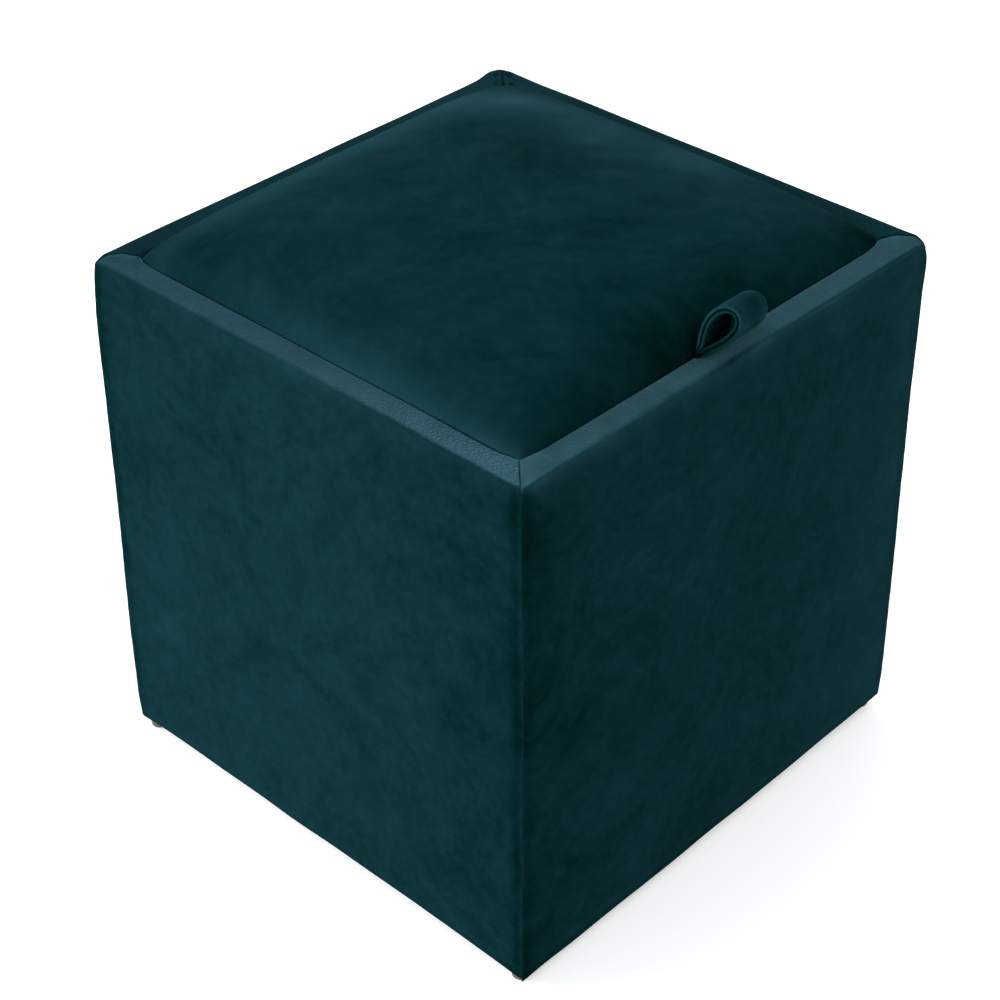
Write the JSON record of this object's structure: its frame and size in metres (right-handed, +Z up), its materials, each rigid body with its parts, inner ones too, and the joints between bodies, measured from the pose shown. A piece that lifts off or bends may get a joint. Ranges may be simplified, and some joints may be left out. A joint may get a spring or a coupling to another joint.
{
  "type": "storage cube pouf stool with lift-off lid",
  "caption": "Velvet-covered storage cube stool: padded walls round a recessed, crowned lid that lifts off by a folded pull loop, standing on small nail-on glides.",
  "frame": {"origin": "bottom centre of the footprint, on the floor; the footprint takes in the pull loop that leans out at the front, so the cube's own middle lies 5.7 mm behind it", "axes": "+Z up, -Y is the front with the pull loop, +X is the right-hand side seen from the front"},
  "size_m": [0.435, 0.4379, 0.4858],
  "materials": {
    "velvet": "short-pile velvet with a soft sheen",
    "board": "plain unfinished board",
    "glide": "moulded satin brown"
  },
  "bodies": {
    "box": {"wall_front": "velvet", "wall_right": "velvet", "wall_back": "velvet", "wall_left": "velvet", "base_panel": "board", "ledge_front": "board", "ledge_right": "board", "ledge_back": "board", "ledge_left": "board", "glide_front_left": "glide", "glide_front_right": "glide", "glide_back_left": "glide", "glide_back_right": "glide"},
    "lid": {"lid_cushion": "velvet", "pull_loop": "velvet"}
  },
  "joints": [
    {"name": "lid_lift", "type": "slide", "parent": "box", "child": "lid", "axis": [0, 0, 1], "range_m": [0, 0.25]}
  ]
}
